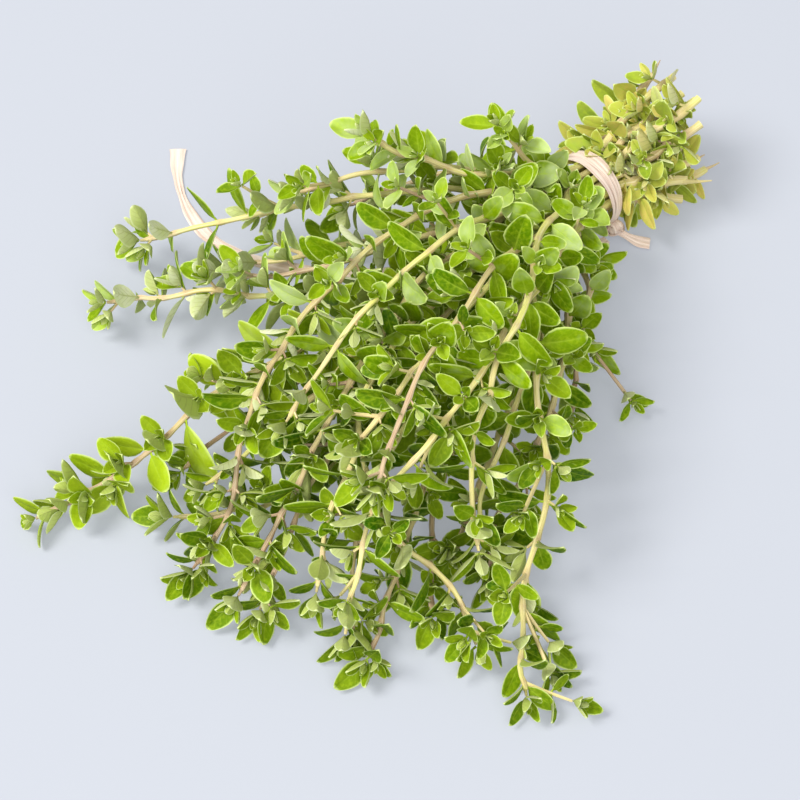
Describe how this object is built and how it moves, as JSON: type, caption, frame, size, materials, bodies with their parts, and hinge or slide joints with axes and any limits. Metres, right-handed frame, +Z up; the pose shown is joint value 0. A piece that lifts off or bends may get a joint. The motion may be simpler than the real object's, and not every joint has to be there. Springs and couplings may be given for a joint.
{
  "type": "thyme bundle",
  "caption": "Bundle of fresh thyme lying on a table: leafy sprigs fanned out from a neck tied with a flat raffia strip, which has a knot, a short free end and a long free end.",
  "frame": {"origin": "on the surface that the bunch lies on, below the middle of the box of all but the long free end of the tie", "axes": "+X along the bunch from its tips to its cut ends, +Y to the side where the long free end shows, +Z up"},
  "size_m": [0.2102, 0.1985, 0.0572],
  "materials": {
    "leaf": "fresh green leaf, satin above and matt pale grey-green below",
    "stem": "fresh to woody stem, pale yellow-green to tan, matt and finely ridged",
    "raffia": "dry plant-fibre strip, pinkish beige, matt with fine lengthwise fibres"
  },
  "bodies": {
    "root": {"sprig_01": "leaf", "sprig_02": "leaf", "sprig_03": "leaf", "sprig_04": "leaf", "sprig_05": "leaf", "sprig_06": "leaf", "sprig_07": "leaf", "sprig_08": "leaf", "sprig_09": "leaf", "sprig_10": "leaf", "sprig_11": "leaf", "sprig_12": "leaf", "sprig_13": "leaf", "sprig_14": "leaf", "sprig_15": "leaf", "sprig_16": "leaf", "sprig_17": "leaf", "sprig_18": "leaf", "sprig_19": "leaf", "sprig_20": "leaf", "sprig_21": "leaf", "sprig_22": "leaf", "sprig_23": "leaf", "sprig_24": "leaf", "sprig_25": "leaf", "sprig_26": "leaf", "sprig_27": "leaf", "sprig_28": "leaf", "sprig_29": "leaf", "sprig_30": "leaf", "tie": "raffia", "tie_tail": "raffia"}
  },
  "joints": []
}
